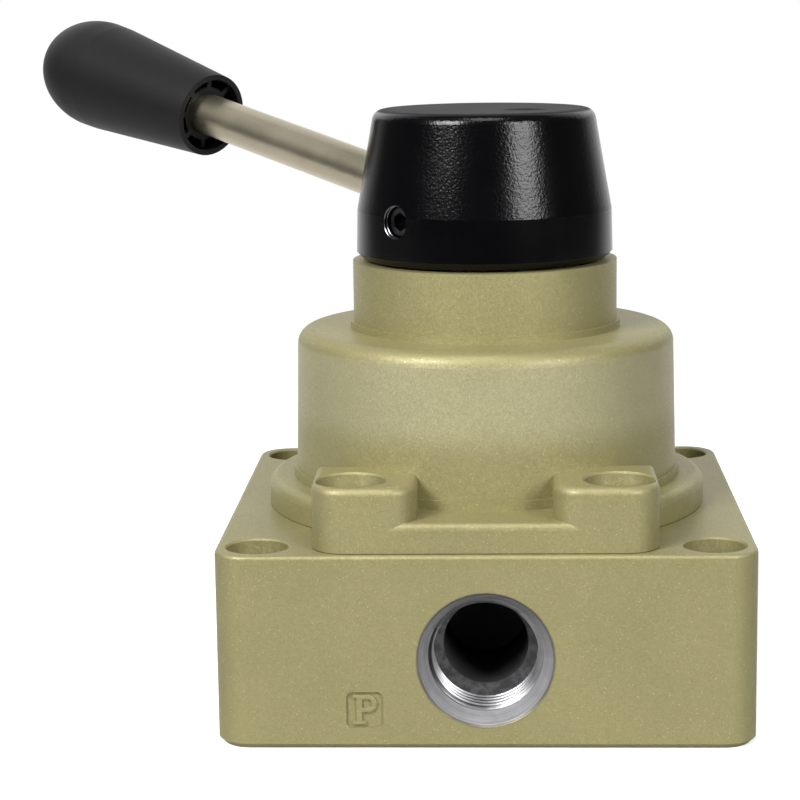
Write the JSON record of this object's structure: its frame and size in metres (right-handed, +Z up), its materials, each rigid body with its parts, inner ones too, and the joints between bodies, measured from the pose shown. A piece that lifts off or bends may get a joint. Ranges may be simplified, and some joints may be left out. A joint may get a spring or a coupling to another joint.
{
  "type": "hand lever air valve",
  "caption": "Square-bodied rotary air valve with a threaded port on each side, a domed bonnet, and a black knob cap turned by a tilted side lever with a tapered grip.",
  "frame": {"origin": "centre of the body's underside, on the spindle axis", "axes": "+Z up along the spindle, -Y out of port P at the front, +X to the right; the four ports face -Y, +X, +Y and -X, and at rest the lever points back and to the left"},
  "size_m": [0.1196, 0.1147, 0.1022],
  "materials": {
    "gold_paint": "fine metallic champagne-gold paint over die-cast aluminium",
    "black_shell": "semi-gloss black with a light orange peel",
    "grip_plastic": "satin moulded plastic",
    "nickel_steel": "satin nickel plating",
    "black_steel": "black oxide",
    "zinc_steel": "zinc plate",
    "ground_steel": "ground and lapped",
    "bronze": "sintered bronze and turned brass",
    "seal_rubber": "nitrile rubber",
    "slide_polymer": "machined acetal"
  },
  "bodies": {
    "housing": {"valve_body": "gold_paint", "bonnet": "gold_paint", "port_plate": "ground_steel", "port_plate_seals": "seal_rubber", "port_plate_dowels": "ground_steel", "body_seal": "seal_rubber", "bonnet_screws": "zinc_steel", "screw_washers": "zinc_steel", "spindle_bush": "bronze", "thrust_washer": "slide_polymer", "detent_plate": "ground_steel", "stop_pin": "ground_steel", "dust_seal": "seal_rubber"},
    "lever": {"spindle": "ground_steel", "spindle_o_rings": "seal_rubber", "rotor_disc": "slide_polymer", "rotor_spring": "zinc_steel", "detent_hub": "ground_steel", "detent_springs": "zinc_steel", "retaining_ring": "black_steel", "cap": "black_shell", "cap_set_screw": "black_steel", "lever_rod": "nickel_steel", "grip_insert": "bronze", "grip": "grip_plastic"},
    "ball_1": {"detent_ball_1": "ground_steel"},
    "ball_2": {"detent_ball_2": "ground_steel"}
  },
  "joints": [
    {"name": "lever_turn", "type": "hinge", "parent": "housing", "child": "lever", "pos_m": [0, 0, 0.0727], "axis": [0, 0, 1], "range_deg": [-90, 0]},
    {"name": "ball_1_drop", "type": "slide", "parent": "lever", "child": "ball_1", "axis": [0, 0, -1], "range_m": [0, 0.0005], "stiffness_N_per_m": 400, "springref_m": 0.0005},
    {"name": "ball_2_drop", "type": "slide", "parent": "lever", "child": "ball_2", "axis": [0, 0, -1], "range_m": [0, 0.0005], "stiffness_N_per_m": 400, "springref_m": 0.0005}
  ]
}
